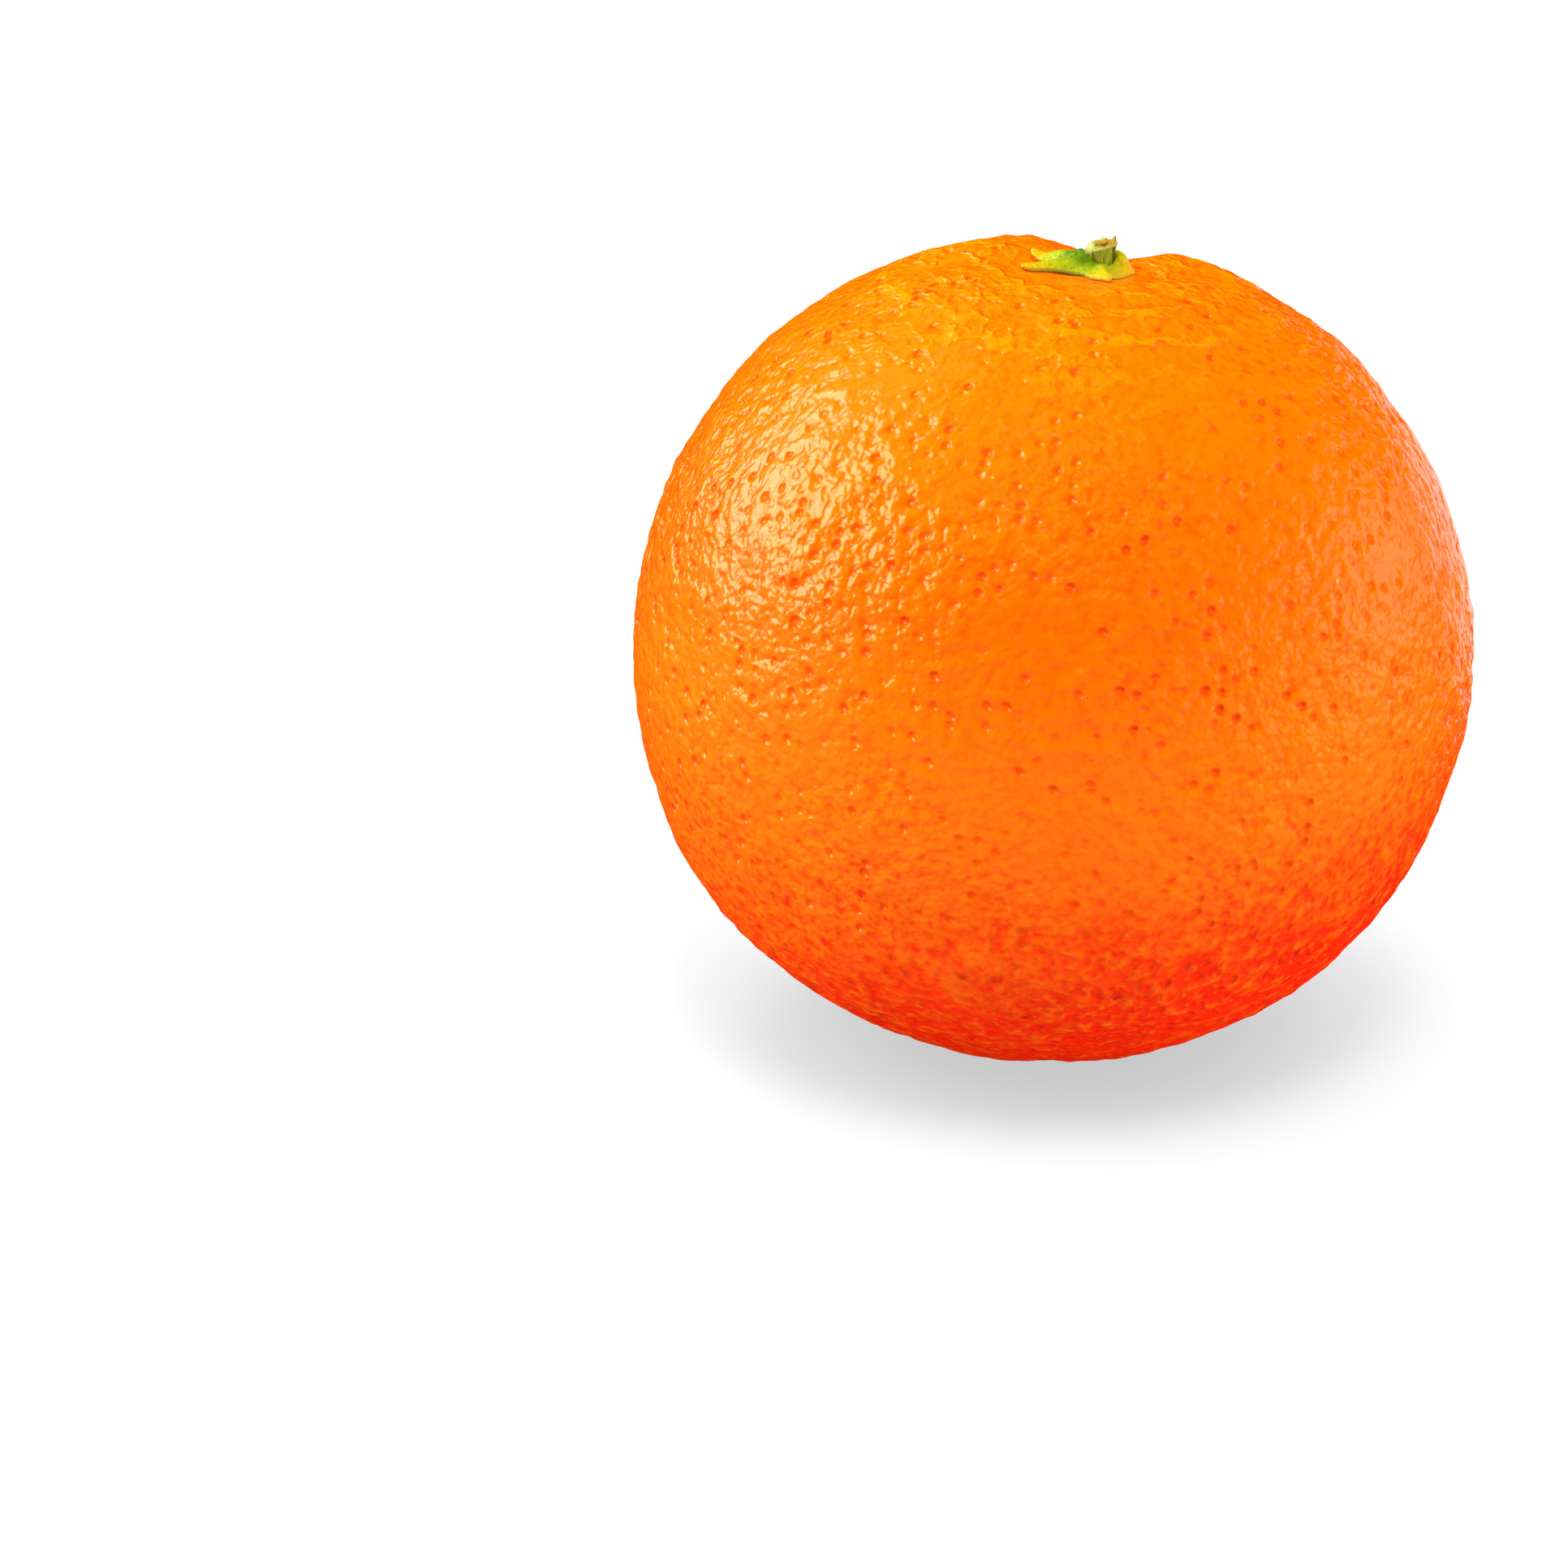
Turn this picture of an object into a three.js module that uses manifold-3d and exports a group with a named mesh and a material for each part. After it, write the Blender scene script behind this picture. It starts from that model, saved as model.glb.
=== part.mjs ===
// A whole sweet orange as it lies on a table: the fruit, the green calyx in its stem basin and the cut
// stalk that stands on the calyx. Millimetres, +Z up. The origin is on the table under the middle of the
// fruit, which rests on a small flat spot and leans a little, so its stem end points up and towards +X.
import * as THREE from "three";
import { mergeVertices } from "three/addons/utils/BufferGeometryUtils.js";
import Module from "manifold-3d";

const wasm = await Module();
wasm.setup();

// ---- Driving dimensions ----
const FRUIT_RADIUS = 40; // half the widest diameter, across the equator
const STEM_FLATTENING = 0.013; // share of that radius by which the stem end falls short of a sphere
const STYLE_FLATTENING = 0.037; // the same at the far end, where the flower's style was
const SHOULDER = 0.007; // how far the skin stands out halfway from the equator to the stem, as a share
const LEAN = THREE.MathUtils.degToRad(5.4); // of the stem axis, from upright towards +X
const PRESSED_IN = 0.8; // depth of peel that the flat spot takes away
const GAP = 0.3; // clearance between neighbouring pieces

const BASIN_DEPTH = 2.4; // the hollow at the stem end
const BASIN_SPREAD = 7.0; // distance from the stem axis at which the hollow has mostly faded

// Furrows that run out from the stem, by the direction they take about the stem axis (degrees, 0 towards
// +X and 90 towards +Y), their depth, half their width, and the distance from the axis where they end.
const FURROWS = [
  { towards: 13, depth: 1.1, halfWidth: 1.9, reach: 23 },
  { towards: 79, depth: 2.2, halfWidth: 5.0, reach: 31 },
  { towards: 172, depth: 1.3, halfWidth: 2.1, reach: 30 },
  { towards: 214, depth: 0.35, halfWidth: 1.7, reach: 15 },
  { towards: 262, depth: 0.4, halfWidth: 1.6, reach: 13 },
  { towards: 312, depth: 0.45, halfWidth: 1.8, reach: 16 },
];
const FURROW_START = 3; // distance from the axis where every furrow begins
const FURROW_FULL = 8; // and where it is deepest

// Slow swells that keep the fruit from being a solid of revolution: how many go round it, how high each
// is as a share of the radius, and the direction of the first crest.
const SWELLS = [
  { count: 1, height: 0.006, crest: 20 },
  { count: 2, height: 0.004, crest: 65 },
  { count: 3, height: 0.003, crest: 10 },
];

const SKIN_COLUMNS = 64; // faces round the fruit
const SKIN_ROWS = 44; // rows from the stem end to the far end
const ROWS_TO_STEM = 0.5; // how strongly the rows crowd towards the stem end, from 0 to 1

// The calyx's lobes, by direction (degrees), length from the axis, and half their width as an angle.
const LOBES = [
  { towards: 8, length: 5.2, halfAngle: 28 },
  { towards: 82, length: 4.9, halfAngle: 19 },
  { towards: 146, length: 6.0, halfAngle: 16 },
  { towards: 205, length: 7.3, halfAngle: 13 },
  { towards: 290, length: 5.5, halfAngle: 16 },
];
const LOBE_ROOT = 3.2; // distance from the axis of the notches between lobes
const CALYX_EDGE = 0.55; // thickness at the lobes' edge
const BOSS_RADIUS = 2.0; // the flat-topped boss of the calyx, where the stalk stands
const BOSS_HEIGHT = 1.3; // its top, above the floor of the basin
const BOSS_PLACE = new THREE.Vector3(0.9, 0.3, 0); // its middle, beside the stem axis
const CALYX_COLUMNS = 60;
const CALYX_RINGS = 7;

const STALK_RADIUS = 1.5;
const STALK_HEIGHT = 1.5; // along its axis, to the middle of the cut
const STALK_TILT = THREE.MathUtils.degToRad(6); // from the stem axis towards +X and +Y
const STALK_TILT_TOWARDS = THREE.MathUtils.degToRad(50);
const CUT_SLOPE = 0.22; // rise of the slanting cut per millimetre, towards +X and +Y
const STALK_SIDES = 24;

// ---- The peel's surface ----
function furrowDepth(fromAxis, around) {
  let total = 0;
  for (const { towards, depth, halfWidth, reach } of FURROWS) {
    const turn = around - THREE.MathUtils.degToRad(towards);
    const across = fromAxis * Math.sin(turn);
    if (Math.cos(turn) < 0) continue; // the far side of the axis
    const opening = THREE.MathUtils.smoothstep(fromAxis, FURROW_START, FURROW_FULL);
    const closing = 1 - THREE.MathUtils.smoothstep(fromAxis, FURROW_FULL, reach);
    total += depth * opening * closing * Math.exp(-((across / halfWidth) ** 2));
  }
  return total;
}

// Distance from the fruit's centre to its skin. polar is the angle from the stem axis.
function skinRadius(polar, around) {
  const up = Math.cos(polar);
  const out = Math.sin(polar);
  let share = 1 - (up > 0 ? STEM_FLATTENING : STYLE_FLATTENING) * up ** 4;
  if (up > 0) share += SHOULDER * Math.sin(2 * polar) ** 2;
  for (const { count, height, crest } of SWELLS) {
    const turn = around - THREE.MathUtils.degToRad(crest);
    share += height * Math.cos(count * turn) * out ** (count + 1);
  }
  const fromAxis = FRUIT_RADIUS * out;
  const basin = up > 0 ? BASIN_DEPTH * Math.exp(-((fromAxis / BASIN_SPREAD) ** 2)) : 0;
  return FRUIT_RADIUS * share - basin - (up > 0 ? furrowDepth(fromAxis, around) : 0);
}

// Height of the skin over the fruit's centre, at a distance from the stem axis on its upper side.
function skinHeight(fromAxis, around) {
  let polar = Math.asin(fromAxis / FRUIT_RADIUS);
  for (let step = 0; step < 4; step++) {
    polar = Math.asin(fromAxis / skinRadius(polar, around));
  }
  return skinRadius(polar, around) * Math.cos(polar);
}

// ---- Closed meshes from rings of points ----
// rings is a list of rings with the same number of points each, from the bottom of the body to its top,
// each ring anticlockwise from above; bottom and top are the single points that close it.
function ringsToGeometry(bottom, rings, top) {
  const columns = rings[0].length;
  const points = [bottom, ...rings.flat(), top];
  const at = (row, column) => 1 + row * columns + (column % columns);
  const faces = [];
  for (let column = 0; column < columns; column++) {
    faces.push(0, at(0, column + 1), at(0, column));
    for (let row = 0; row + 1 < rings.length; row++) {
      faces.push(at(row, column), at(row, column + 1), at(row + 1, column + 1));
      faces.push(at(row, column), at(row + 1, column + 1), at(row + 1, column));
    }
    const last = rings.length - 1;
    faces.push(at(last, column), at(last, column + 1), points.length - 1);
  }
  const geometry = new THREE.BufferGeometry().setFromPoints(points);
  geometry.setIndex(faces);
  return geometry;
}

// A ring of points about the stem axis: radiusAt and heightAt are functions of the angle.
function ringOf(columns, radiusAt, heightAt) {
  return Array.from({ length: columns }, (_, column) => {
    const around = (2 * Math.PI * column) / columns;
    const radius = radiusAt(around);
    return new THREE.Vector3(radius * Math.cos(around), radius * Math.sin(around), heightAt(around));
  });
}

// ---- The fruit ----
function fruitSkin() {
  const rings = [];
  for (let row = SKIN_ROWS - 1; row > 0; row--) {
    const share = row / SKIN_ROWS;
    const polar = Math.PI * share - ROWS_TO_STEM * Math.sin(Math.PI * share);
    rings.push(
      ringOf(
        SKIN_COLUMNS,
        (around) => skinRadius(polar, around) * Math.sin(polar),
        (around) => skinRadius(polar, around) * Math.cos(polar),
      ),
    );
  }
  const bottom = new THREE.Vector3(0, 0, -skinRadius(Math.PI, 0));
  const top = new THREE.Vector3(0, 0, skinRadius(0, 0));
  return ringsToGeometry(bottom, rings, top);
}

function toSolid(geometry) {
  const bare = geometry.index ? geometry.toNonIndexed() : geometry.clone();
  bare.deleteAttribute("normal");
  bare.deleteAttribute("uv");
  const merged = mergeVertices(bare);
  return new wasm.Manifold(
    new wasm.Mesh({
      numProp: 3,
      vertProperties: new Float32Array(merged.attributes.position.array),
      triVerts: new Uint32Array(merged.index.array),
    }),
  );
}

function toGeometry(solid) {
  const { vertProperties, triVerts } = solid.getMesh();
  const geometry = new THREE.BufferGeometry();
  geometry.setAttribute("position", new THREE.BufferAttribute(vertProperties, 3));
  geometry.setIndex(new THREE.BufferAttribute(triVerts, 1));
  geometry.computeVertexNormals();
  return geometry;
}

// The leaning skin, set down so that the table takes PRESSED_IN off its lowest point and the origin is
// under the middle of the fruit. seat is where that puts the fruit's own centre.
function seatedFruit() {
  const skin = fruitSkin();
  skin.rotateY(LEAN);
  skin.computeBoundingBox();
  const { min, max } = skin.boundingBox;
  const seat = new THREE.Vector3(-(min.x + max.x) / 2, -(min.y + max.y) / 2, -min.z - PRESSED_IN);
  skin.translate(seat.x, seat.y, seat.z);
  const tableDepth = 10;
  const table = new THREE.BoxGeometry(3 * FRUIT_RADIUS, 3 * FRUIT_RADIUS, tableDepth);
  table.translate(0, 0, -tableDepth / 2);
  return { seat, geometry: toGeometry(toSolid(skin).subtract(toSolid(table))) };
}

// ---- The calyx ----
function calyxReach(around) {
  let reach = LOBE_ROOT;
  for (const { towards, length, halfAngle } of LOBES) {
    const turn = around - THREE.MathUtils.degToRad(towards);
    const offset = Math.atan2(Math.sin(turn), Math.cos(turn));
    const share = Math.exp(-((offset / THREE.MathUtils.degToRad(halfAngle)) ** 2));
    reach += (length - LOBE_ROOT) * share;
  }
  return reach;
}

const basinFloor = skinHeight(0, 0);
const bossTop = basinFloor + BOSS_HEIGHT;

// The underside follows the peel at GAP above it. The upper side falls from the boss, which stands beside
// the stem axis, to a thin edge.
function calyxGeometry() {
  const under = (radius, around) => skinHeight(radius, around) + GAP;
  const over = (share, radius, around) => {
    const edge = under(radius, around) + CALYX_EDGE;
    return THREE.MathUtils.lerp(bossTop, edge, Math.sqrt(share));
  };
  const rings = [];
  for (let ring = 1; ring <= CALYX_RINGS; ring++) {
    const radiusAt = (around) => (calyxReach(around) * ring) / CALYX_RINGS;
    rings.push(ringOf(CALYX_COLUMNS, radiusAt, (around) => under(radiusAt(around), around)));
  }
  for (let ring = CALYX_RINGS; ring >= 0; ring--) {
    const share = ring / CALYX_RINGS;
    const radiusAt = (around) => THREE.MathUtils.lerp(BOSS_RADIUS, calyxReach(around), share);
    const points = ringOf(CALYX_COLUMNS, radiusAt, (around) => over(share, radiusAt(around), around));
    for (const point of points) point.addScaledVector(BOSS_PLACE, 1 - share);
    rings.push(points);
  }
  const bottom = new THREE.Vector3(0, 0, basinFloor + GAP);
  const top = new THREE.Vector3(BOSS_PLACE.x, BOSS_PLACE.y, bossTop);
  return ringsToGeometry(bottom, rings, top);
}

// ---- The cut stalk ----
function stalkGeometry() {
  const lift = (radius) => (around) =>
    STALK_HEIGHT + CUT_SLOPE * radius * Math.cos(around - STALK_TILT_TOWARDS);
  const rings = [
    ringOf(STALK_SIDES, () => STALK_RADIUS, () => 0),
    ringOf(STALK_SIDES, () => STALK_RADIUS * 0.94, () => STALK_HEIGHT / 2),
    ringOf(STALK_SIDES, () => STALK_RADIUS, lift(STALK_RADIUS)),
  ];
  const bottom = new THREE.Vector3(0, 0, 0);
  const top = new THREE.Vector3(0, 0, STALK_HEIGHT);
  return ringsToGeometry(bottom, rings, top);
}

// ---- Assembly ----
function namedMesh(name, geometry, colour, roughness) {
  geometry.computeVertexNormals();
  const material = new THREE.MeshStandardMaterial({ color: colour, roughness, metalness: 0 });
  const mesh = new THREE.Mesh(geometry, material);
  mesh.name = name;
  return mesh;
}

const { seat, geometry: fruitGeometry } = seatedFruit();
const fruit = namedMesh("fruit", fruitGeometry, 0xfd7101, 0.38);

// Everything in this group is placed in the fruit's own frame, whose Z axis is the stem axis.
const stemEnd = new THREE.Group();
stemEnd.position.copy(seat);
stemEnd.rotation.y = LEAN;
stemEnd.add(namedMesh("calyx", calyxGeometry(), 0xa8c81e, 0.6));

// The stalk's tilt lowers one side of its foot, so it is raised by that much as well as by GAP.
const stalk = namedMesh("stalk", stalkGeometry(), 0x6d7f2a, 0.75);
stalk.position.copy(BOSS_PLACE);
stalk.position.z = bossTop + GAP + STALK_RADIUS * Math.sin(STALK_TILT);
const tiltAxis = new THREE.Vector3(-Math.sin(STALK_TILT_TOWARDS), Math.cos(STALK_TILT_TOWARDS), 0);
stalk.quaternion.setFromAxisAngle(tiltAxis, STALK_TILT);
stemEnd.add(stalk);

const orange = new THREE.Group();
orange.add(fruit, stemEnd);

export default orange;
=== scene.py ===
# %% [markdown]
# # An orange, resting on a table
#
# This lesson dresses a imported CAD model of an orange. The model already says how big the fruit is, how it
# leans and where its calyx and cut stalk stand. Blender adds what the eye looks for: the dimpled peel, the
# glow under it, the fleshy calyx and the dry cut.
#
# The first step loads the CAD model. Its nodes stay where they are, and everything else is placed by them.

# %% Load the frame
import math

import bpy
from mathutils import Matrix, Vector, noise


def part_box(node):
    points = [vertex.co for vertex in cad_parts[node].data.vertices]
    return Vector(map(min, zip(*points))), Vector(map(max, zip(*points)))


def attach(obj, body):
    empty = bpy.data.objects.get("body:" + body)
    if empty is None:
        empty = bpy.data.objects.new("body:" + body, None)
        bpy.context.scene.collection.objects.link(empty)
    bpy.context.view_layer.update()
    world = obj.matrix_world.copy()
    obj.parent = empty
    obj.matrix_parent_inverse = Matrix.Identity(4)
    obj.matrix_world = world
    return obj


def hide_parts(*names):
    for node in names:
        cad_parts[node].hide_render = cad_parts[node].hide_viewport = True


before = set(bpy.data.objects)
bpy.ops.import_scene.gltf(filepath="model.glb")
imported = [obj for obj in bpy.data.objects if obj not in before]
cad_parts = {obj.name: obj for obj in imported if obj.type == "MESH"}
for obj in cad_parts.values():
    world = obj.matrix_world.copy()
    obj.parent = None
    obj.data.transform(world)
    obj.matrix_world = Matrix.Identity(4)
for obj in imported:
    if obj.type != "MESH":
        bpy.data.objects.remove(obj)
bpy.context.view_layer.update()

MM = 0.001

# %% [markdown]
# ## Where the fruit is
#
# Two points give every other place. One is the middle of the fruit, and the other is the middle of the
# calyx. The line through them stands for the stem axis, about which the peel's pattern is laid out. Both are
# read from the CAD nodes' boxes, and neither is typed in.

# %% Middle, size and lean
fruit_low, fruit_high = (Vector(corner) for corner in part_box("fruit"))
calyx_low, calyx_high = (Vector(corner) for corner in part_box("calyx"))
centre = (fruit_low + fruit_high) / 2
fruit_radius = (fruit_high.x - fruit_low.x) / 2
to_calyx = ((calyx_low + calyx_high) / 2 - centre).normalized()
lean = math.atan2(to_calyx.x, to_calyx.z)
print("centre", centre, "radius", fruit_radius, "lean", math.degrees(lean))

# %% [markdown]
# ## The camera
#
# A long lens from a little above flattens the view, as a product picture does. The camera is turned to its
# aim point with `to_track_quat`, which needs no constraint and can't be left behind when the scene changes.
# The fruit sits up and to the right of the frame's middle, so the aim point is beside it.

# %% Camera
CAMERA_LIFT = math.radians(21.5)
LENS = 100
FILM_WIDTH = 36
VIEW_WIDTH = 149.5 * MM
FRUIT_TO_THE_RIGHT = 25.4 * MM
FRUIT_ABOVE_MIDDLE = 13.0 * MM

to_camera = Vector((0, -math.cos(CAMERA_LIFT), math.sin(CAMERA_LIFT)))
camera_right = Vector((1, 0, 0))
camera_up = to_camera.cross(camera_right)
aim = centre - camera_right * FRUIT_TO_THE_RIGHT - camera_up * FRUIT_ABOVE_MIDDLE

bpy.ops.object.camera_add(location=aim + to_camera * VIEW_WIDTH * LENS / FILM_WIDTH)
camera = bpy.context.object
camera.rotation_euler = to_camera.to_track_quat("Z", "Y").to_euler()
camera.data.lens = LENS
camera.data.sensor_width = FILM_WIDTH
camera.data.clip_start = 10 * MM
bpy.context.scene.camera = camera
print("camera at", camera.location)

# %% [markdown]
# ## Writing materials as sums
#
# A procedural material is arithmetic on patterns. Wiring each Math node by hand hides that, so a small class
# wraps a socket: `a * b + c` adds the nodes and the links. The same class works in a material and in a
# Geometry Nodes group, so one function can shape the peel and also paint it.


# %% A socket with operators
class Flow:
    """One output socket of a node tree, with the Python operators that add nodes behind it."""

    def __init__(self, tree, socket):
        self.tree = tree
        self.socket = socket

    def node(self, kind, settings, inputs, output=0):
        """Adds a node, sets it up, fills its inputs with values or links, and gives one of its outputs."""
        made = self.tree.nodes.new(kind)
        for name, value in settings.items():
            setattr(made, name, value)
        for name, value in inputs.items():
            if isinstance(value, Flow):
                self.tree.links.new(value.socket, made.inputs[name])
            else:
                made.inputs[name].default_value = value
        return Flow(self.tree, made.outputs[output])

    def beside(self, output):
        """Another output of the node that this one comes from."""
        return Flow(self.tree, self.socket.node.outputs[output])

    def math(self, operation, first, second=0.0):
        return self.node("ShaderNodeMath", {"operation": operation}, {0: first, 1: second})

    def __add__(self, other):
        return self.math("ADD", self, other)

    def __radd__(self, other):
        return self.math("ADD", other, self)

    def __sub__(self, other):
        return self.math("SUBTRACT", self, other)

    def __rsub__(self, other):
        return self.math("SUBTRACT", other, self)

    def __mul__(self, other):
        return self.math("MULTIPLY", self, other)

    def __rmul__(self, other):
        return self.math("MULTIPLY", other, self)

    def __truediv__(self, other):
        return self.math("DIVIDE", self, other)

    def __abs__(self):
        return self.math("ABSOLUTE", self)

    def rise(self, start, end):
        """A smooth step: 0 up to start, 1 from end on. With end below start it falls instead."""
        ends = {"From Min": min(start, end), "From Max": max(start, end)}
        ends["To Min"] = 0.0 if start < end else 1.0
        ends["To Max"] = 1.0 - ends["To Min"]
        return self.node("ShaderNodeMapRange", {"interpolation_type": "SMOOTHSTEP"}, {"Value": self, **ends})

    def vector(self, operation, other=(0.0, 0.0, 0.0), output=0):
        return self.node("ShaderNodeVectorMath", {"operation": operation}, {0: self, 1: other}, output)

    def scaled(self, factor):
        return self.node("ShaderNodeVectorMath", {"operation": "SCALE"}, {0: self, "Scale": factor})

    def turned(self, axis, angle):
        """The vector, turned about an axis."""
        inputs = {"Vector": self, "Axis": axis, "Angle": angle}
        return self.node("ShaderNodeVectorRotate", {}, inputs)

    def part(self, axis):
        """One part of a vector, "X", "Y" or "Z"."""
        return self.node("ShaderNodeSeparateXYZ", {}, {"Vector": self}, axis)

    def noise(self, size, detail=2.0, roughness=0.5):
        """Soft noise with lumps about size apart, from -1 to 1 and 0 on average."""
        inputs = {"Vector": self, "Scale": 1 / size, "Detail": detail, "Roughness": roughness}
        return (self.node("ShaderNodeTexNoise", {}, inputs) - 0.5) * 2.0

    def cells(self, size, randomness=1.0):
        """Distance to the nearest of many scattered points, which are about size apart."""
        inputs = {"Vector": self, "Scale": 1 / size, "Randomness": randomness}
        return self.node("ShaderNodeTexVoronoi", {}, inputs, "Distance")

    def wander(self, size, reach):
        """A vector that drifts from place to place, to bend a pattern by up to reach."""
        return self.node("ShaderNodeTexNoise", {}, {"Vector": self, "Scale": 1 / size}, "Color").scaled(reach)

    def from_axis(self):
        """Distance from the Z axis."""
        return self.vector("MULTIPLY", (1, 1, 0)).vector("LENGTH", output="Value")

    def mix(self, none, full):
        """A colour between two, by this factor."""
        settings = {"data_type": "RGBA", "clamp_factor": True}
        return self.node("ShaderNodeMix", settings, {0: self, 6: none, 7: full}, 2)


# %% [markdown]
# ## The relief of the peel
#
# Oil glands pull the peel in over each of them, so it is covered in small pits. Between the pits it is
# lumpy and grained, and slow swells run through all of it. Near the stem it is drawn into folds that point
# at the calyx, and low, broken ridges run round the stem as well.
#
# Such a surface could be sculpted, or pushed out by a picture. Here it is a sum of noises, because a sum can
# be used twice: its wide part moves the mesh, and its fine part becomes the material's bump.
#
# Every height is in millimetres on a ball the size of the fruit, with Z along the stem axis. A place is first
# pushed onto that ball, so the pattern is the same before and after the peel is raised by it.


# %% Places on the peel
def on_the_ball(place):
    """A place in the scene, in metres, as millimetres on the ball about the fruit's middle."""
    from_centre = place.vector("SUBTRACT", tuple(centre))
    upright = from_centre.turned((0, 1, 0), -lean)
    return upright.vector("NORMALIZE").scaled(fruit_radius / MM)


PIT_SPACING = 1.55


def pit_field(spot):
    """The distance to the nearest gland, in units of their spacing, and a number that each gland has."""
    distance = spot.cells(PIT_SPACING, randomness=0.85)
    lot = distance.beside("Color").part("X")
    return distance, lot


# The middles of two patches where the rind is smoother.
SMOOTH_PATCHES = ((-23, -18, 24), (25, -20, 20))


def roughness_of_rind(spot):
    """How rough the rind is: about 0.5 in the middle of the smooth patches, and 0.7 to 1.2 elsewhere."""
    rough = spot.noise(14.0, detail=1.0).rise(-0.4, 0.4) * 0.5 + 0.7
    for patch in SMOOTH_PATCHES:
        away = spot.vector("DISTANCE", patch, output="Value")
        rough = rough * (away.rise(3.0, 16.0) * 0.45 + 0.55)
    return rough


print("pits are", PIT_SPACING, "mm apart, and", len(SMOOTH_PATCHES), "patches are smooth")


# %% Wide relief
def stem_wrinkles(spot):
    """Folds that run out from the stem, between two distances from its axis."""
    from_axis = spot.from_axis()
    around = spot.vector("MULTIPLY", (1, 1, 0)).vector("NORMALIZE").scaled(3.4)
    along = spot.vector("MULTIPLY", (0, 0, 0.12))
    folds = around.vector("ADD", along).noise(1.0, detail=1.5)
    fade = from_axis.rise(2.5, 7.0) * from_axis.rise(24.0, 8.0) * spot.part("Z").rise(0.0, 10.0)
    return folds * fade


def lumps(spot):
    """The soft part of the relief, from about -0.5 in the hollows to 0.5 on the lumps."""
    return spot.noise(3.2, detail=0.0) * 0.45 + spot.noise(1.8, detail=0.0) * 0.55


def raised_relief(spot):
    """The relief that is wide enough to be modelled in the mesh."""
    distance, lot = pit_field(spot)
    funnels = distance.rise(0.80, 0.0) * (lot * 0.14 + 0.04)
    swells = spot.noise(12.0, detail=1.0) * 0.45
    bumps = lumps(spot) * roughness_of_rind(spot) * 0.36
    return swells + bumps + stem_wrinkles(spot) * 0.45 - funnels


# %% Fine relief
def pebbles(spot):
    """Small round tops with creases between them: 0 on the tops, and less than 0 in the creases."""
    distance = spot.vector("ADD", spot.wander(1.25, 0.7)).cells(0.95)
    return 0.0 - distance * distance


def ridge_lines(spot):
    """Thin, broken ridges that run round the stem, from 0 between them to 1 on their crests."""
    from_axis = spot.from_axis()
    parts = {"X": spot.part("X") * 0.18, "Y": spot.part("Y") * 0.18, "Z": from_axis}
    stretched = spot.node("ShaderNodeCombineXYZ", {}, parts)
    crests = abs(stretched.vector("ADD", spot.wander(2.0, 3.0)).noise(3.0, detail=0.5)).rise(0.20, 0.0)
    near_stem = from_axis.rise(5.0, 9.0) * from_axis.rise(27.0, 17.0) * spot.part("Z").rise(0.0, 10.0)
    return crests * near_stem * spot.noise(6.0, detail=1.0).rise(-0.45, 0.15)


def grain(spot):
    """Bumps about a millimetre wide, from -1 to 1."""
    return spot.noise(1.0, detail=1.0)


def style_scar(spot):
    """1 on the small scar where the flower's style dropped off, at the lower end of the stem axis."""
    return spot.from_axis().rise(2.4, 1.4) * spot.part("Z").rise(-20.0, -30.0)


def fine_relief(spot):
    """The relief that is too fine for the mesh, for the material's bump."""
    distance, lot = pit_field(spot)
    rough = roughness_of_rind(spot)
    cores = distance.rise(0.40, 0.06) * lot.rise(0.1, 1.0) * rough * 0.44
    coarser_low_down = spot.part("Z").rise(-4.0, -18.0) * 0.8 + 1.0
    bumps = (pebbles(spot) * 0.12 + grain(spot) * 0.20) * rough * coarser_low_down
    return bumps + ridge_lines(spot) * 0.36 - cores - style_scar(spot) * 0.5


# %% [markdown]
# ## The peel
#
# The peel is one closed skin, a little lopsided, with a basin at the stem and a small flat spot where it
# rests. A UV sphere would crowd its faces at two poles. A cube that is split and rounded off again and again
# gives four-sided faces of nearly one size all over, which take small pits equally well everywhere.
#
# The ball is then shrink-wrapped onto the CAD fruit, which holds the basin, the furrows and the flat spot.
# The CAD mesh is faceted, so the wrap target is a copy of it with its loose triangles merged, turned back to
# four-sided faces and smoothed by a subdivision surface.


# %% Helpers for editing
def only(piece):
    """Selects one object and makes it the active one."""
    bpy.ops.object.select_all(action="DESELECT")
    piece.select_set(True)
    bpy.context.view_layer.objects.active = piece


def finish_with(piece, kind, **settings):
    """Adds a modifier and applies it."""
    only(piece)
    modifier = piece.modifiers.new(kind.title(), kind)
    for name, value in settings.items():
        setattr(modifier, name, value)
    bpy.ops.object.modifier_apply(modifier=modifier.name)


def triangles(piece):
    return sum(len(face.vertices) - 2 for face in piece.data.polygons)


def smooth_copy(node_name, levels):
    """A smoothed copy of a CAD node, to wrap a finer mesh onto."""
    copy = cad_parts[node_name].copy()
    copy.data = copy.data.copy()
    copy.parent = None
    bpy.context.scene.collection.objects.link(copy)
    only(copy)
    bpy.ops.object.mode_set(mode="EDIT")
    bpy.ops.mesh.select_all(action="SELECT")
    bpy.ops.mesh.remove_doubles(threshold=0.001 * MM)
    flat_enough = math.radians(60)
    bpy.ops.mesh.tris_convert_to_quads(face_threshold=flat_enough, shape_threshold=flat_enough)
    bpy.ops.object.mode_set(mode="OBJECT")
    finish_with(copy, "SUBSURF", levels=levels, render_levels=levels)
    return copy


# %% A ball of even four-sided faces
SPLITS = 7
BALL_SIZE = 1.2 * fruit_radius

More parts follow.
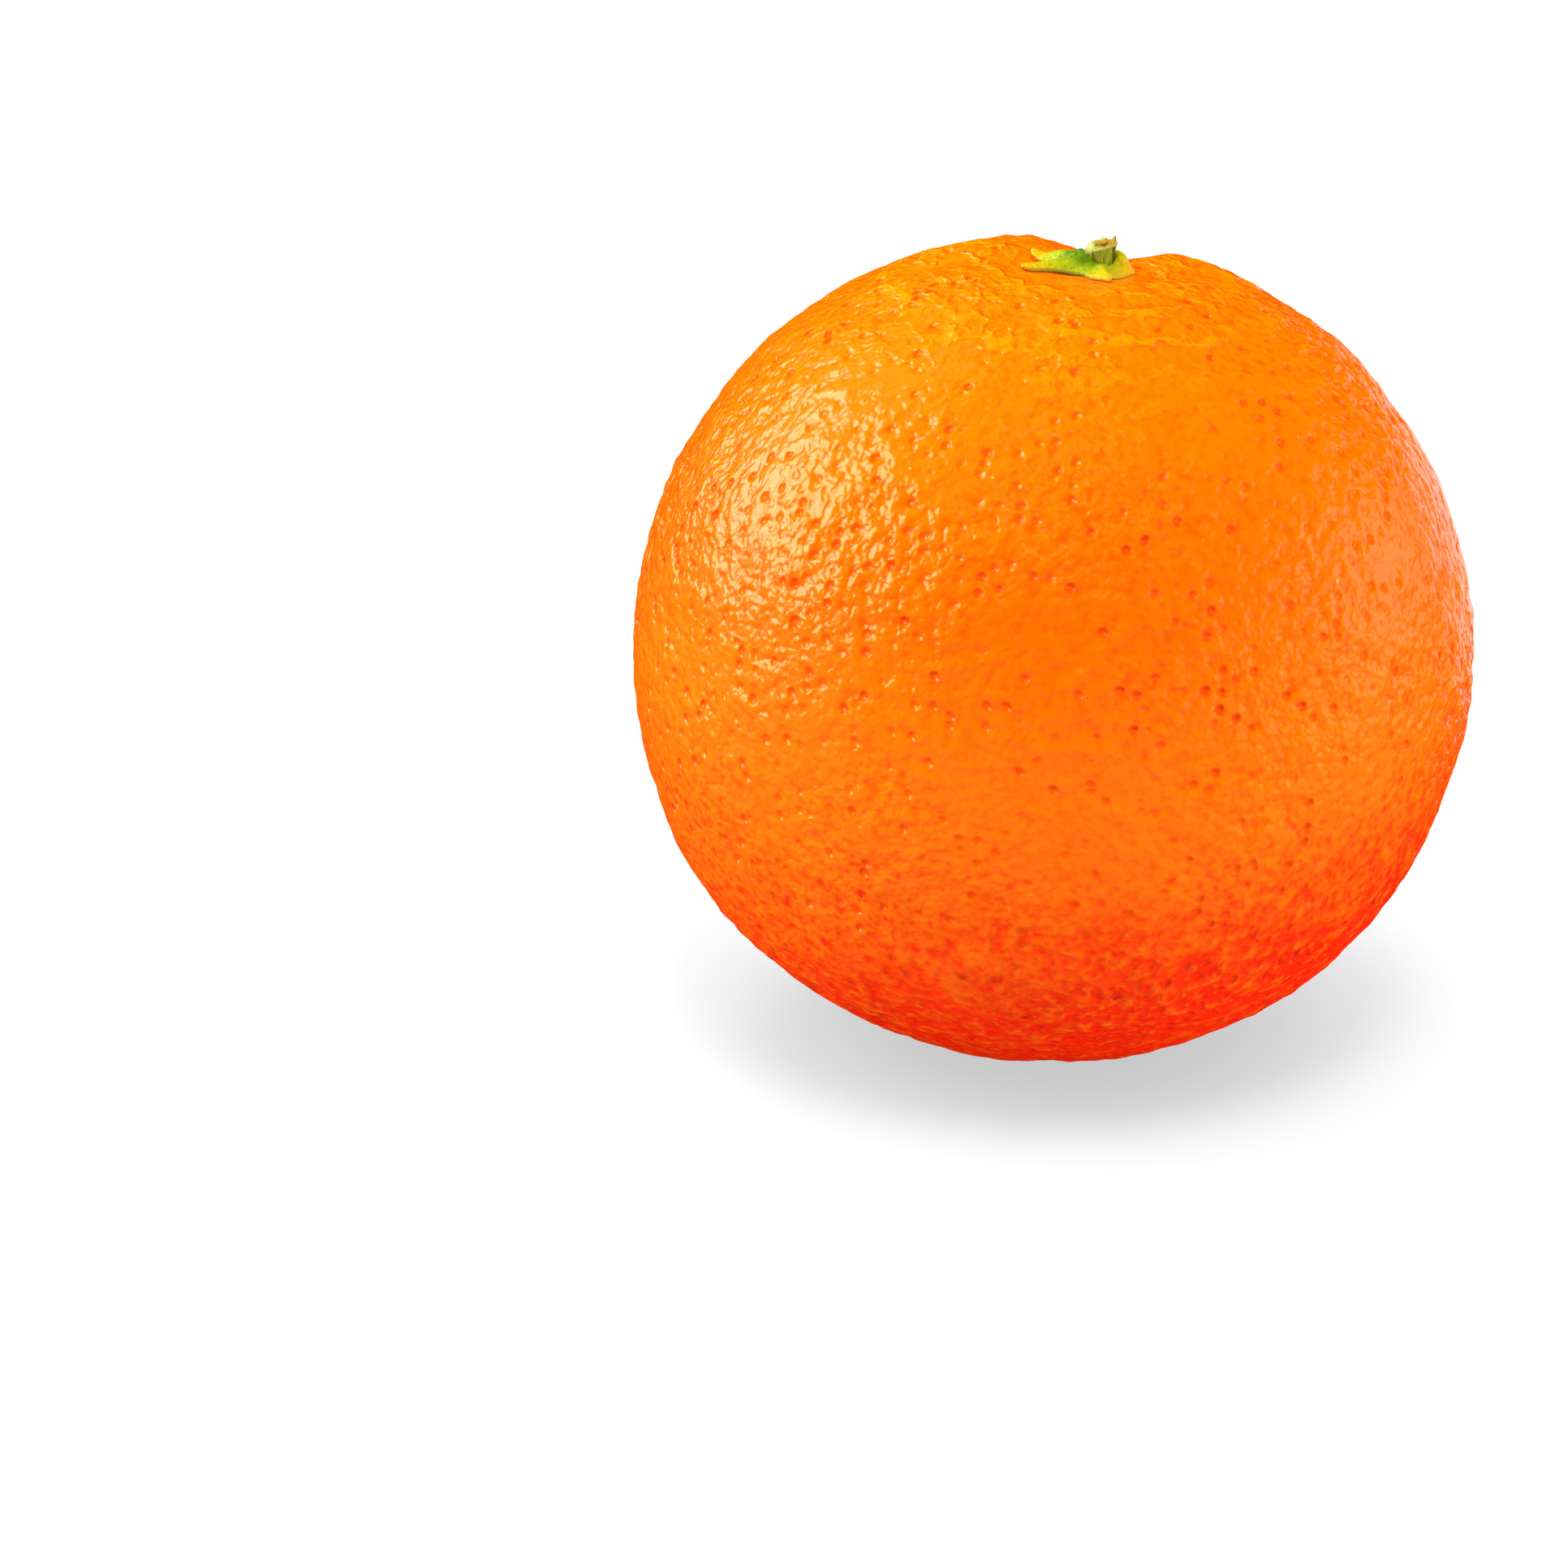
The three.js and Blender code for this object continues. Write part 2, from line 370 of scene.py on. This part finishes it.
bpy.ops.object.select_all(action="DESELECT")
bpy.ops.mesh.primitive_cube_add(size=2 * fruit_radius, location=centre)
peel = bpy.context.object
peel.name = "peel"
for split in range(SPLITS):
    finish_with(peel, "SUBSURF", subdivision_type="SIMPLE", levels=1, render_levels=1)
    finish_with(peel, "CAST", factor=1.0, use_radius_as_size=False, size=BALL_SIZE, radius=0)
only(peel)
bpy.ops.object.transform_apply(location=True, rotation=True, scale=True)
print("ball with", triangles(peel), "triangles, measures", peel.dimensions)

# %% Wrap it onto the CAD fruit
wrap = smooth_copy("fruit", 2)
finish_with(
    peel, "SHRINKWRAP", target=wrap, wrap_method="PROJECT",
    use_project_x=False, use_project_y=False, use_project_z=False,
    use_negative_direction=True, use_positive_direction=False,
)
print("wrapped peel measures", peel.dimensions)
bpy.data.objects.remove(wrap)

# %% [markdown]
# ## The wide relief, in the mesh
#
# The lumps, folds and wide parts of the pits show in the outline, so they have to be real shape. A Displace
# modifier could do it, but it can't read node textures. A Geometry Nodes group with one Set Position node is
# written by the same functions that the material uses. It fades out close to the table, so that the flat spot
# stays flat and nothing pokes through.


# %% Raise the relief
FULL_ABOVE = 1.5 * MM


def relief_group():
    group = bpy.data.node_groups.new("peel relief", "GeometryNodeTree")
    group.interface.new_socket("Geometry", in_out="INPUT", socket_type="NodeSocketGeometry")
    group.interface.new_socket("Geometry", in_out="OUTPUT", socket_type="NodeSocketGeometry")
    way_in = group.nodes.new("NodeGroupInput")
    way_out = group.nodes.new("NodeGroupOutput")
    place = Flow(group, group.nodes.new("GeometryNodeInputPosition").outputs[0])
    outward = Flow(group, group.nodes.new("GeometryNodeInputNormal").outputs[0])
    off_the_table = place.part("Z").rise(0.0, FULL_ABOVE)
    height = raised_relief(on_the_ball(place)) * off_the_table * MM
    raised = place.node(
        "GeometryNodeSetPosition", {},
        {"Geometry": Flow(group, way_in.outputs[0]), "Offset": outward.scaled(height)},
    )
    group.links.new(raised.socket, way_out.inputs[0])
    return group


finish_with(peel, "NODES", node_group=relief_group())
only(peel)
bpy.ops.object.shade_smooth()
print("peel with relief measures", peel.dimensions)

# %% [markdown]
# ## The finish of the peel
#
# An orange's colour comes from the rind under a thin wax, so the base colour is deep, a little light scatters
# beneath it, and the gloss on top is soft and slightly golden. The rind is yellower towards the stem and
# redder underneath, which is partly painted shade, with a lighter band of painted light above the red.
# Painted shade darkens the pits and creases, painted light makes the tops between them paler and the ridges
# round the stem yellow, and a few old rubs have left pale specks. A painted picture could hold all this, but
# layers that are mixed one over the other by the relief's own functions always fit the bumps they colour.


# %% Helpers for materials
def new_material(name):
    """A material with a Principled BSDF, that node, and the place on the surface as a Flow."""
    material = bpy.data.materials.new(name)
    material.use_nodes = True
    tree = material.node_tree
    surface = tree.nodes["Principled BSDF"]
    place = Flow(tree, tree.nodes.new("ShaderNodeTexCoord").outputs["Object"])
    return material, surface, place


def feed(surface, name, flow):
    """Links a Flow to one of the surface's inputs."""
    flow.tree.links.new(flow.socket, surface.inputs[name])


def settle(surface, **values):
    """Sets inputs that are the same all over, by their names with _ for the spaces."""
    for name, value in values.items():
        surface.inputs[name.replace("_", " ")].default_value = value


def bump(height):
    """A normal from a height in metres."""
    return height.node("ShaderNodeBump", {}, {"Height": height, "Distance": 1.0, "Strength": 1.0})


# %% Peel material
# Colours of the rind. The deepest red is the rind's own red underneath, and also painted shade there and in
# the creases. The darker pit colour is painted shade in the pits. The lighter orange band low down and the
# ridge yellow are painted light. The yellow is the rind's own colour at the stem and painted light on the
# tops.
PAINTED_SHADE_RIND = (0.96, 0.015, 0.0, 1)
PAINTED_LIGHT_RIND = (1.0, 0.125, 0.0, 1)
RIND = (1.0, 0.099, 0.0, 1)
YELLOW_AND_PAINTED_LIGHT_RIND = (1.0, 0.135, 0.0, 1)
PAINTED_RIDGE_LIGHT = (1.0, 0.205, 0.0, 1)
PAINTED_PIT_SHADE = (0.97, 0.030, 0.0, 1)
PALE_SCAR = (1.0, 0.40, 0.06, 1)
BROWN_SCAR = (0.22, 0.085, 0.012, 1)


def rind_colour_and_painted_shade(place, spot, blotches):
    """The rind's change from red-orange underneath to yellow-orange at the stem. The red-orange underneath is
    partly the rind's own colour and partly painted shade, a little stronger towards +X. The band just above
    it is painted lighter, as painted light.
    """
    height = place.part("Z") / fruit_radius - 1.0 + blotches * 0.10
    # Painted shade: the deep red underneath is made a little stronger towards +X.
    painted_shade_to_one_side = place.part("X") / fruit_radius * 0.20
    mottled_height = height + lumps(spot) * 0.14 + grain(spot) * 0.20 - painted_shade_to_one_side
    # Below the middle the rind is painted a deeper red-orange, partly its own colour and partly painted
    # shade. Just above that, a lighter band of painted light stands in for light.
    low = mottled_height.rise(-0.18, -0.76).mix(PAINTED_LIGHT_RIND, PAINTED_SHADE_RIND)
    middle = height.rise(-0.05, 0.35).mix(low, RIND)
    return height.rise(0.30, 1.05).mix(middle, YELLOW_AND_PAINTED_LIGHT_RIND)


def peel_colour(place, spot, blotches):
    """The rind's colour with painted light on the tops and ridges, painted shade in the creases and pits, and
    the specks and the style's scar over it.
    """
    distance, lot = pit_field(spot)
    rough = roughness_of_rind(spot)
    # Painted light and shade on the relief, stronger low down and where the rind is rough.
    painted_shading_strength = (spot.part("Z").rise(0.0, -18.0) * 1.1 + 0.8) * rough

    tone = lumps(spot) + (distance - 0.45) * 0.7
    # Painted light: the tops of the lumps and the grain are painted paler, as if lit from above.
    tops = (tone.rise(0.0, 0.55) * 0.20 + grain(spot).rise(0.0, 0.6) * 0.35) * painted_shading_strength
    paler = tops.mix(rind_colour_and_painted_shade(place, spot, blotches), YELLOW_AND_PAINTED_LIGHT_RIND)
    # Painted light: the crests of the ridges round the stem are painted yellow.
    with_painted_ridge_light = (ridge_lines(spot) * 0.75).mix(paler, PAINTED_RIDGE_LIGHT)
    # Painted shade: the creases between the pebbles and the grain are painted deeper red.
    creases = pebbles(spot).rise(-0.15, -0.75) * 0.15 + grain(spot).rise(0.0, -0.6) * 0.40
    darker = (creases * painted_shading_strength).mix(with_painted_ridge_light, PAINTED_SHADE_RIND)
    # Painted shade: the pits are painted darker.
    pits = distance.rise(0.38, 0.08) * lot.rise(0.1, 1.0)
    with_painted_pit_shade = (pits * rough * 0.60).mix(darker, PAINTED_PIT_SHADE)

    specks = spot.cells(5.5)
    rubs = specks.rise(0.05, 0.025) * specks.beside("Color").part("Y").rise(0.50, 0.70) * 0.6
    return style_scar(spot).mix(rubs.mix(with_painted_pit_shade, PALE_SCAR), BROWN_SCAR)


def peel_material():
    material, surface, place = new_material("orange peel")
    spot = on_the_ball(place)
    blotches = spot.noise(11.0, detail=3.0)
    feed(surface, "Base Color", peel_colour(place, spot, blotches))
    feed(surface, "Roughness", blotches * 0.04 + 0.21)
    feed(surface, "Normal", bump(fine_relief(spot) * MM))
    settle(surface, Specular_IOR_Level=0.42, Specular_Tint=(1.0, 0.92, 0.40, 1))
    settle(surface, Subsurface_Weight=0.12, Subsurface_Radius=(1.0, 0.25, 0.05))
    settle(surface, Subsurface_Scale=2.5 * MM)
    return material


peel.data.materials.clear()
peel.data.materials.append(peel_material())
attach(peel, "root")
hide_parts("fruit")
print("peel has", triangles(peel), "triangles")

# %% [markdown]
# ## The stem end's own frame
#
# The calyx and the stalk could be modelled where they stand, but their rings are easier to size about an
# upright axis. So both are modelled at the scene's origin, with Z along the stem axis and zero at the floor
# of the basin, and are then set in place in one move. A ray cast down the stem axis finds the floor.

# %% Frame of the stem end
tilt = Matrix.Rotation(lean, 4, "Y")
stem_axis = (tilt @ Vector((0, 0, 1))).normalized()
_, basin_floor, _, _ = peel.ray_cast(centre + stem_axis * 2 * fruit_radius, -stem_axis)
stem_frame = Matrix.Translation(basin_floor) @ tilt
print("basin floor at", basin_floor)


# %% Helpers for the stem end
def peel_under(across, along):
    """Height of the peel over the basin's floor at a place beside the stem axis, all in metres."""
    start = stem_frame @ Vector((across, along, 20 * MM))
    _, place, _, _ = peel.ray_cast(start, -stem_axis)
    return (stem_frame.inverted() @ place).z


def turn_between(angle, towards):
    """The turn from one direction to another in degrees, from -180 to 180. The angle is in radians."""
    return (math.degrees(angle) - towards + 180) % 360 - 180


def move_points(piece, rule):
    """Moves every vertex of a mesh by a rule on its place."""
    for point in piece.data.vertices:
        point.co = rule(point.co)


def set_in_place(piece):
    """Moves a piece from the scene's origin to the stem end, and puts that place into its mesh."""
    only(piece)
    piece.matrix_world = stem_frame
    bpy.ops.object.transform_apply(location=True, rotation=True, scale=True)


# %% [markdown]
# ## The calyx
#
# The calyx is what is left of the flower: five fleshy lobes that lie on the peel and rise to a collar round
# the stalk. It could be cut from a disc, but the collar would then be hard to raise. It starts as the
# collar's top ring, which is extruded outwards ring by ring, as one would by hand. The rings are then drawn
# out to the lobes, and every point is laid above the peel that is under it. Solidify makes the sheet thick
# downwards, nearly to the peel, and a subdivision surface rounds its edge.

# %% Calyx: rings from the collar outwards
COLLAR_RADIUS = 1.35
COLLAR_SHIFT = (0.80, 0.30)
LOBE_ROOT = 2.5
LOBE_STEPS = 14
CALYX_SIDES = 96
TIP_HEIGHT = 0.44
CALYX_THICKNESS = 0.38
# Each lobe's direction in degrees, its length, its half width in degrees, how round its tip is,
# how far the tip lifts off, and how far its middle bulges.
LOBES = [
    (10, 4.6, 36, 3.6, -0.10, 1.20),
    (82, 4.9, 21, 1.6, 0.25, 0.20),
    (146, 6.0, 17, 1.7, 0.55, 0.10),
    (205, 7.3, 15, 1.2, 0.05, 0.10),
    (290, 5.5, 17, 1.3, 0.05, 0.00),
]


def lobe_reach(angle):
    """How far out the calyx's edge is in a direction, and how it lifts and bulges there, in millimetres."""
    reach, lift, bulge = LOBE_ROOT, 0.0, 0.0
    for towards, length, half_width, roundness, tip_lift, middle_bulge in LOBES:
        turn = turn_between(angle, towards)
        share = math.exp(-abs(turn / half_width) ** roundness)
        reach += (length - LOBE_ROOT) * share
        lift += tip_lift * share
        bulge += middle_bulge * share
    return reach, lift, bulge


def collar_height(angle):
    """The collar's height, in millimetres: it climbs the side of the stalk in one direction."""
    return 1.25 + 1.05 * math.exp(-(turn_between(angle, 185) / 75) ** 2)


def ring_outwards(radius, last_radius):
    """Extrudes the selected rim, and sizes the new rim."""
    bpy.ops.mesh.extrude_edges_move(TRANSFORM_OT_translate={"value": (0, 0, 0)})
    scale = radius / last_radius
    bpy.ops.transform.resize(value=(scale, scale, 1), center_override=(0, 0, 0))


bpy.ops.object.select_all(action="DESELECT")
bpy.ops.mesh.primitive_circle_add(vertices=CALYX_SIDES, radius=COLLAR_RADIUS * MM, fill_type="NOTHING")
calyx = bpy.context.object
calyx.name = "calyx_flesh"
bpy.ops.object.mode_set(mode="EDIT")
bpy.ops.mesh.select_mode(type="EDGE")
bpy.ops.mesh.select_all(action="SELECT")
last_radius = COLLAR_RADIUS
for step in range(1, LOBE_STEPS + 1):
    radius = COLLAR_RADIUS + (LOBE_ROOT - COLLAR_RADIUS) * step / LOBE_STEPS
    ring_outwards(radius, last_radius)
    last_radius = radius
bpy.ops.object.mode_set(mode="OBJECT")
print("calyx rings", len(calyx.data.vertices), "points")


# %% Calyx: lobes, laid on the peel
def on_the_peel(point):
    """Draws a ring's point out towards its lobe, and sets it at its height above the peel."""
    angle = math.atan2(point.y, point.x)
    outwards = (math.hypot(point.x, point.y) / MM - COLLAR_RADIUS) / (LOBE_ROOT - COLLAR_RADIUS)
    outwards = min(1.0, max(0.0, outwards))
    reach, lift, bulge = lobe_reach(angle)
    spread = COLLAR_RADIUS + outwards * (reach - COLLAR_RADIUS)
    to_stalk = (1 - outwards) ** 1.5
    across = (spread * math.cos(angle) + COLLAR_SHIFT[0] * to_stalk) * MM
    along = (spread * math.sin(angle) + COLLAR_SHIFT[1] * to_stalk) * MM
    slope = (collar_height(angle) - TIP_HEIGHT) * (1 - outwards) ** 1.35
    arch = math.sin(math.pi * outwards)
    folds = (0.11 * math.cos(5 * angle - 1.1) + 0.08 * math.cos(11 * angle + 1.0)) * arch
    raised = TIP_HEIGHT + slope + folds + lift * outwards ** 3 + bulge * arch ** 2
    return Vector((across, along, peel_under(across, along) + raised * MM))


move_points(calyx, on_the_peel)
finish_with(calyx, "SOLIDIFY", thickness=CALYX_THICKNESS * MM, offset=1.0)
finish_with(calyx, "SUBSURF", levels=2, render_levels=2)
set_in_place(calyx)
only(calyx)
bpy.ops.object.shade_smooth()
print("calyx has", triangles(calyx), "triangles, measures", calyx.dimensions)

# %% [markdown]
# ## The cut stalk
#
# The stalk was clipped close to the fruit, so it is a short stub with bark outside and wood in its cut. It
# could be a cylinder with a rough texture, but the cut is what one looks at. A disc is extruded upwards ring
# by ring, its bark is drawn into fibres, and two `bisect` cuts slice the top as the clippers did. A voxel
# remesh then turns the hard shape into one even skin, fine enough for a sunk middle, a torn rim and one
# splinter.

# %% Stalk
STALK_RADIUS = 1.50
STALK_FOOT = 0.80
STALK_PLACE = Vector((1.00, 0.30, 0.0))
# How far each ring rises, in millimetres, and how much wider than the last it is.
RISES = [(0.5, 0.96), (0.5, 0.98), (0.6, 1.02), (0.6, 1.03), (0.7, 1.02)]

bpy.ops.object.select_all(action="DESELECT")
bpy.ops.mesh.primitive_circle_add(
    vertices=64, radius=STALK_RADIUS * MM, fill_type="NGON", location=(0, 0, STALK_FOOT * MM)
)
stalk = bpy.context.object
stalk.name = "stalk_wood"
bpy.ops.object.transform_apply(location=True, rotation=True, scale=True)
bpy.ops.object.mode_set(mode="EDIT")
bpy.ops.mesh.select_all(action="SELECT")
for rise, widening in RISES:
    bpy.ops.mesh.extrude_region_move(TRANSFORM_OT_translate={"value": (0.04 * MM, 0.06 * MM, rise * MM)})
    bpy.ops.transform.resize(value=(widening, widening, 1))
bpy.ops.object.mode_set(mode="OBJECT")
print("stalk rises", sum(rise for rise, _ in RISES), "mm above its foot")


# %% Stalk: fibres and cuts
def fibres(point):
    """Ridges that run up the bark."""
    angle = math.atan2(point.y, point.x)
    ridge = 1 + 0.045 * math.cos(14 * angle) + 0.03 * math.cos(5 * angle + 2) + 0.02 * math.cos(23 * angle)
    return Vector((point.x * ridge, point.y * ridge, point.z)) + STALK_PLACE * MM


move_points(stalk, fibres)
# Each cut is a place on its plane, in millimetres, and the direction that is cut away.
CUTS = [
    ((1.15, 0.50, 2.75), (-0.24, -0.06, 1.0)),
    ((0.55, 0.50, 2.62), (-0.60, -0.05, 0.80)),
]
bpy.ops.object.mode_set(mode="EDIT")
for place, direction in CUTS:
    bpy.ops.mesh.select_all(action="SELECT")
    bpy.ops.mesh.bisect(
        plane_co=[number * MM for number in place], plane_no=direction, use_fill=True, clear_outer=True
    )
bpy.ops.mesh.select_all(action="SELECT")
bpy.ops.mesh.normals_make_consistent(inside=False)
bpy.ops.object.mode_set(mode="OBJECT")
finish_with(stalk, "REMESH", mode="VOXEL", voxel_size=0.05 * MM)
finish_with(stalk, "SMOOTH", factor=0.5, iterations=2)
print("cut stalk has", triangles(stalk), "triangles")


# %% Stalk: wear
def worn(point):
    """Sinks the middle of the cut, tears its rim and draws up one splinter."""
    place = point / MM
    over_foot = min(1.0, max(0.0, (place.z - 2.0) / 0.6))
    beside = Vector((place.x - 1.2, place.y - 0.55))
    sunk = 0.35 * math.exp(-(beside.length / 0.42) ** 2)
    torn = 0.10 * noise.noise(place * 2.3) + 0.05 * noise.noise(place * 6.0)
    splinter = 0.45 * math.exp(-((place.x - 2.45) ** 2 + (place.y - 0.75) ** 2) / 0.08)
    return point + Vector((0, 0, (torn + splinter - sunk) * over_foot * MM))


move_points(stalk, worn)
set_in_place(stalk)
only(stalk)
bpy.ops.object.shade_smooth()
print("stalk has", triangles(stalk), "triangles, measures", stalk.dimensions)

# %% [markdown]
# ## The finish of the calyx and the stalk
#
# The calyx is green by the stalk and turns lime, yellow and then orange towards the tips of its lobes, with
# green streaks. The colours are mixed by the distance from the stalk, which a mottle makes uneven. The
# stalk's bark is olive with dark fibres, and its cut shows brown wood round a dark middle and a paler slice.


# %% Calyx material
def at_the_stem(place):
    """A place in the scene as millimetres in the stem end's own frame."""
    from_floor = place.vector("SUBTRACT", tuple(basin_floor))
    return from_floor.turned((0, 1, 0), -lean).scaled(1 / MM)


GREEN = (0.075, 0.145, 0.002, 1)
LIME = (0.25, 0.29, 0.003, 1)
YELLOW = (0.46, 0.29, 0.002, 1)
AMBER = (0.80, 0.27, 0.003, 1)


def calyx_material():
    material, surface, place = new_material("calyx flesh")
    spot = at_the_stem(place)
    from_stalk = spot.vector("SUBTRACT", (0.4, 0.1, 0)).from_axis()
    mottle = spot.noise(1.5, detail=2.0)
    ripeness = from_stalk + mottle * 0.8 + spot.part("X") * 0.34
    green = ripeness.rise(1.3, 2.4).mix(GREEN, LIME)
    yellow = ripeness.rise(2.6, 4.4).mix(green, YELLOW)
    amber = ripeness.rise(4.2, 6.6).mix(yellow, AMBER)
    streaks = spot.noise(0.45, detail=2.0)
    feed(surface, "Base Color", (streaks.rise(-0.05, -0.5) * 0.35).mix(amber, GREEN))
    feed(surface, "Roughness", mottle * 0.08 + 0.42)
    feed(surface, "Normal", bump((streaks * 0.10 + spot.noise(0.9) * 0.12) * MM))
    settle(surface, Subsurface_Weight=0.15, Subsurface_Radius=(0.8, 1.0, 0.1))
    settle(surface, Subsurface_Scale=0.4 * MM, Specular_IOR_Level=0.35)
    return material


def give(piece, material, node_name):
    """Puts a material on a piece, which then stands for a CAD node, whose own mesh is hidden."""
    piece.data.materials.clear()
    piece.data.materials.append(material)
    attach(piece, "root")
    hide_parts(node_name)
    print(piece.name, "stands for", node_name)


give(calyx, calyx_material(), "calyx")

# %% Stalk material
BARK = (0.23, 0.24, 0.006, 1)
BARK_DARK = (0.045, 0.038, 0.004, 1)
WOOD = (0.24, 0.14, 0.005, 1)
PITH = (0.035, 0.015, 0.002, 1)
SLICE = (0.30, 0.36, 0.11, 1)
RIM = (0.28, 0.27, 0.05, 1)


def stalk_material():
    material, surface, place = new_material("stalk wood")
    spot = at_the_stem(place)
    fibre = spot.vector("MULTIPLY", (1, 1, 0.15)).noise(0.30, detail=2.0)
    bark = fibre.rise(-0.35, 0.30).mix(BARK_DARK, BARK)
    from_middle = spot.vector("SUBTRACT", (1.35, 0.45, 0)).vector("MULTIPLY", (1, 1.1, 0))
    out = from_middle.vector("LENGTH", output="Value") + fibre * 0.25
    on_a_cut = out.rise(1.20, 1.00)
    for place_on_cut, slope in CUTS:
        height = spot.vector("DOT_PRODUCT", slope, "Value") - Vector(place_on_cut).dot(slope)
        on_a_cut = on_a_cut.math("MAXIMUM", on_a_cut, height.rise(-0.22, -0.10))
    wood = out.rise(0.25, 0.75).mix(PITH, WOOD)
    pale = (spot.part("X") + fibre * 0.5).rise(0.9, 0.1).mix(wood, SLICE)
    rim = out.rise(1.15, 1.40).mix(pale, RIM)
    feed(surface, "Base Color", on_a_cut.mix(bark, rim))
    feed(surface, "Roughness", fibre * 0.08 + 0.75)
    feed(surface, "Normal", bump((fibre * 0.10 + spot.noise(0.25) * 0.04) * MM))
    settle(surface, Specular_IOR_Level=0.25)
    return material


give(stalk, stalk_material(), "stalk")

# %% [markdown]
# ## The floor and the wall
#
# The fruit rests on a white table that fades into a white background, with a soft shadow under it. A plain
# white floor would do, but it picks up orange light from the fruit. So this floor is dark grey and glows by
# itself, less near the fruit than further off, which paints a contact shadow under it, and the lamps add the
# rest where they reach. A wall far round it, which only the camera sees, carries the white up behind the
# floor's edge.


# %% Floor
FLOOR_WIDTH = 6


def grey(value):
    return (value, value, value, 1)


bpy.ops.object.select_all(action="DESELECT")
bpy.ops.mesh.primitive_plane_add(size=FLOOR_WIDTH)
floor = bpy.context.object
floor.name = "floor"
floor_material, floor_surface, on_floor = new_material("pale floor")
from_fruit = on_floor.vector("LENGTH", output="Value")
# Painted contact shadow: the floor's glow is dimmer within a few centimetres of the fruit.
glow_with_painted_shadow = from_fruit.rise(0.012, 0.045).mix(grey(0.50), grey(0.82))
feed(floor_surface, "Emission Color", from_fruit.rise(0.10, 0.36).mix(glow_with_painted_shadow, grey(1.0)))
settle(floor_surface, Base_Color=grey(0.12), Emission_Strength=1.0, Roughness=0.9, Specular_IOR_Level=0.0)
floor.data.materials.append(floor_material)
floor.visible_glossy = False
floor.visible_shadow = False
# Light that bounces off the peel would tint the floor orange.
peel.visible_diffuse = False
print("floor is", floor.dimensions.x, "m wide")

# %% Wall
WALL_RADIUS = 2.9
WALL_HEIGHT = 8

bpy.ops.object.select_all(action="DESELECT")
bpy.ops.mesh.primitive_cylinder_add(
    vertices=96, radius=WALL_RADIUS, depth=WALL_HEIGHT, end_fill_type="NOTHING"
)
wall = bpy.context.object
wall.name = "wall"
bpy.ops.object.shade_smooth()
wall_material, wall_surface, _ = new_material("white wall")
settle(wall_surface, Base_Color=grey(0.0), Emission_Color=grey(1.0), Emission_Strength=1.0)
settle(wall_surface, Specular_IOR_Level=0.0)
wall.data.materials.append(wall_material)
wall.visible_diffuse = False
wall.visible_glossy = False
wall.visible_shadow = False
print("wall is", wall.dimensions.x, "m across")

# %% [markdown]
# ## The light
#
# A waxed fruit shows its lamps, so two kinds of lamp are used. Mirrored ones leave their soft shapes on the
# peel: a large one at the left, a small one at the right, and one behind that draws a pale rim. The others
# only brighten it: from above and in front, so that lumps and pits throw shade, from behind, which lays the
# shadow towards the camera, and from both sides and below, which keep the shaded parts warm. One large dome
# would be simpler, but would flatten the relief. The sky is dim, white near the horizon and grey overhead.


# %% Sky
world = bpy.data.worlds.new("studio")
world.use_nodes = True
bpy.context.scene.world = world
sky = world.node_tree
facing = Flow(sky, sky.nodes.new("ShaderNodeTexCoord").outputs["Generated"])
overhead = facing.part("Z").rise(0.10, 0.55)
feed(sky.nodes["Background"], "Color", overhead.mix(grey(1.0), grey(0.55)))
settle(sky.nodes["Background"], Strength=0.18)
world.cycles_visibility.glossy = False
print("sky has strength", sky.nodes["Background"].inputs["Strength"].default_value)


# %% Lamps
def soft_lamp(name, away, distance, width, height, radiance, mirrored=True):
    """A lamp that faces the fruit. away is its direction: right, up and towards the camera's place."""
    direction = camera_right * away[0] + camera_up * away[1] + to_camera * away[2]
    data = bpy.data.lights.new(name, "AREA")
    data.shape = "RECTANGLE"
    data.size = width
    data.size_y = height
    data.energy = radiance * math.pi * width * height
    lamp = bpy.data.objects.new(name, data)
    bpy.context.scene.collection.objects.link(lamp)
    lamp.location = centre + direction.normalized() * distance
    lamp.rotation_euler = direction.to_track_quat("Z", "Y").to_euler()
    lamp.visible_camera = False
    lamp.visible_glossy = mirrored
    print(name, "lamp of", round(data.energy, 1), "W")


soft_lamp("key", (-0.86, 0.46, 0.04), 0.60, 0.46, 0.36, 8.0)
soft_lamp("key fill", (-0.86, 0.40, 0.02), 0.62, 0.80, 0.44, 3.3, mirrored=False)
soft_lamp("overhead", (0.0, 0.66, 0.75), 0.90, 0.30, 0.30, 40.0, mirrored=False)
soft_lamp("back", (-0.30, 0.95, -0.10), 0.90, 0.40, 0.40, 11.0, mirrored=False)
soft_lamp("side", (0.94, 0.25, -0.20), 0.60, 0.36, 0.24, 1.1)
soft_lamp("side fill", (0.96, -0.12, 0.05), 0.62, 0.42, 0.42, 10.6, mirrored=False)
soft_lamp("rim", (0.48, 0.18, -0.86), 0.60, 0.22, 0.22, 1.3)
soft_lamp("table glow", (0.05, -0.90, 0.45), 0.40, 0.50, 0.50, 1.8, mirrored=False)

view = bpy.context.scene.view_settings
view.view_transform = "Standard"
view.look = "None"
